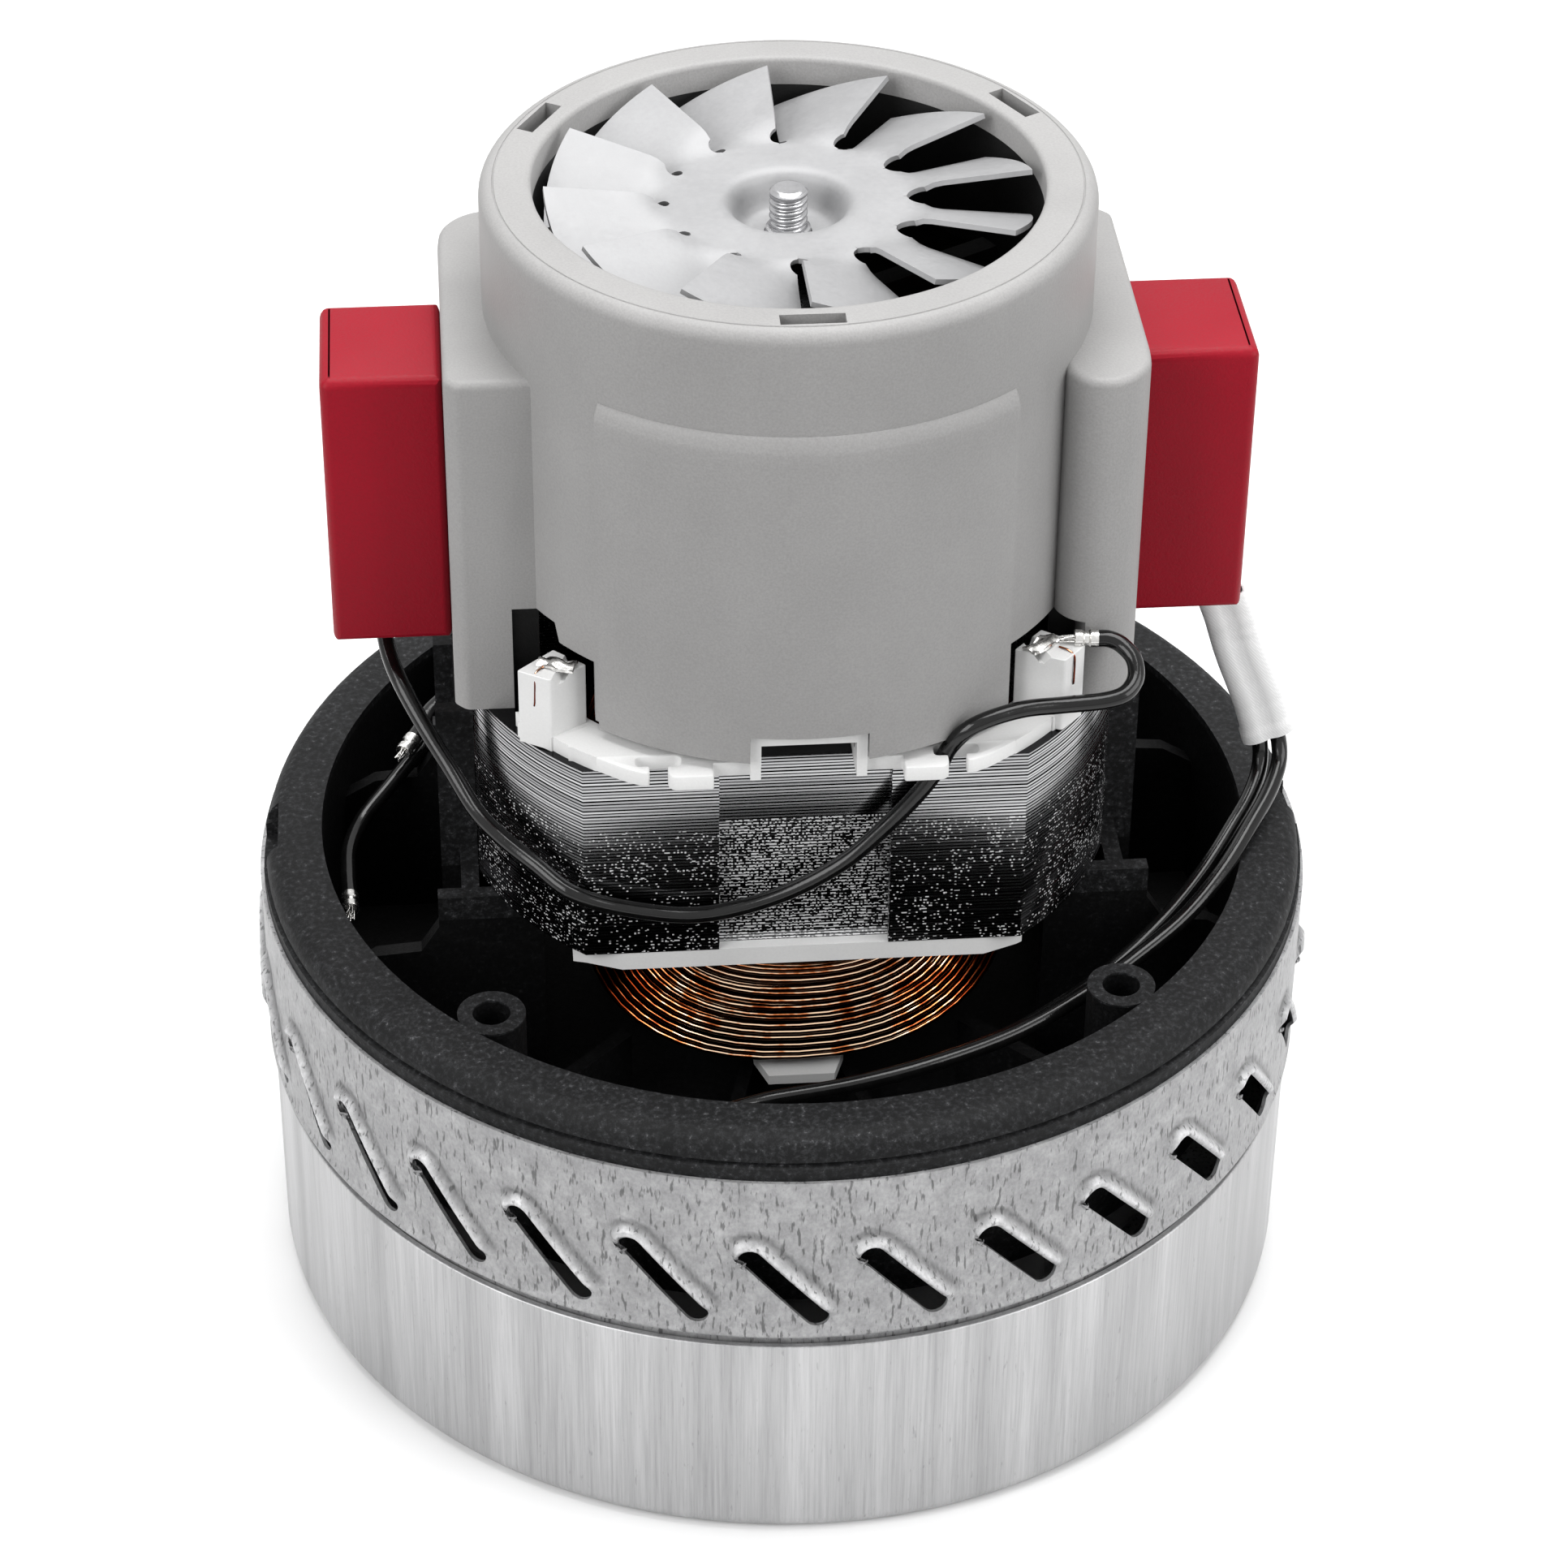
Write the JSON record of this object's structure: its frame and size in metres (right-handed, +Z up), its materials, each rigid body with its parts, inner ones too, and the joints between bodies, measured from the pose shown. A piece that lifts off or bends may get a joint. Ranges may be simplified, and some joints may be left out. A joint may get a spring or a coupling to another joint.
{
  "type": "vacuum motor unit",
  "caption": "Bypass vacuum motor: universal motor with cooling fan and red brush boxes on a black bracket, over a louvred shell and an aluminium can that hold two impellers.",
  "frame": {"origin": "centre of the air intake on the can's floor, which the unit stands on", "axes": "+Z up the shaft towards the cooling fan, X along the brushes, -Y towards the wire posts at the front"},
  "size_m": [0.1476, 0.1476, 0.1666],
  "materials": {
    "can_aluminium": "drawn sheet, lightly brushed up and down",
    "galvanised_steel": "galvanised sheet with short dark streaks",
    "black_moulding": "filled plastic, fine matt grain",
    "lamination_steel": "stacked steel laminations",
    "white_moulding": "smooth white plastic",
    "enamelled_copper": "enamelled copper wire",
    "bar_copper": "turned copper",
    "grey_moulding": "light grey plastic, fine matt grain",
    "bright_steel": "turned steel",
    "red_moulding": "red plastic, fine matt grain",
    "brass_sheet": "bare brass",
    "tinned_brass": "tinned",
    "carbon": "pressed carbon",
    "fan_aluminium": "satin pressed sheet",
    "lead_rubber": "smooth insulation with a slight sheen",
    "white_sleeving": "woven glass sleeving, varnished"
  },
  "bodies": {
    "housing": {"intake_can": "can_aluminium", "louvre_shell": "galvanised_steel", "stage_guide": "galvanised_steel", "motor_bracket": "black_moulding", "stator_core": "lamination_steel", "lower_insulator": "white_moulding", "upper_insulator": "white_moulding", "front_field_coil": "enamelled_copper", "rear_field_coil": "enamelled_copper", "commutator_cover": "grey_moulding", "cover_screws": "bright_steel", "left_brush_box": "red_moulding", "right_brush_box": "red_moulding", "left_brush_tube": "brass_sheet", "right_brush_tube": "brass_sheet", "brush_terminals": "tinned_brass", "post_terminals": "tinned_brass", "left_brush_spring": "bright_steel", "right_brush_spring": "bright_steel", "lower_bearing_ring": "bright_steel", "upper_bearing_ring": "bright_steel", "post_lead": "lead_rubber", "box_lead_outer": "lead_rubber", "box_lead_inner": "lead_rubber", "rear_lead": "lead_rubber", "short_lead": "lead_rubber", "lead_sleeve": "white_sleeving", "lead_crimps": "tinned_brass"},
    "rotor": {"shaft": "bright_steel", "armature_core": "lamination_steel", "armature_winding": "enamelled_copper", "commutator": "bar_copper", "lower_bearing_inner": "bright_steel", "upper_bearing_inner": "bright_steel", "fan_bush": "bright_steel", "cooling_fan": "fan_aluminium", "first_impeller": "fan_aluminium", "second_impeller": "fan_aluminium", "impeller_spacer": "bright_steel", "bearing_spacer": "bright_steel", "impeller_nut": "bright_steel"},
    "left_brush": {"left_carbon_brush": "carbon"},
    "right_brush": {"right_carbon_brush": "carbon"}
  },
  "joints": [
    {"name": "rotor_spin", "type": "hinge", "parent": "housing", "child": "rotor", "pos_m": [0, 0, 0], "axis": [0, 0, 1], "continuous": true},
    {"name": "left_brush_slide", "type": "slide", "parent": "housing", "child": "left_brush", "axis": [-1, 0, 0], "range_m": [0, 0.008], "stiffness_N_per_m": 120, "springref_m": -0.03, "deforming": ["left_brush_spring"]},
    {"name": "right_brush_slide", "type": "slide", "parent": "housing", "child": "right_brush", "axis": [1, 0, 0], "range_m": [0, 0.008], "stiffness_N_per_m": 120, "springref_m": -0.03, "deforming": ["right_brush_spring"]}
  ]
}
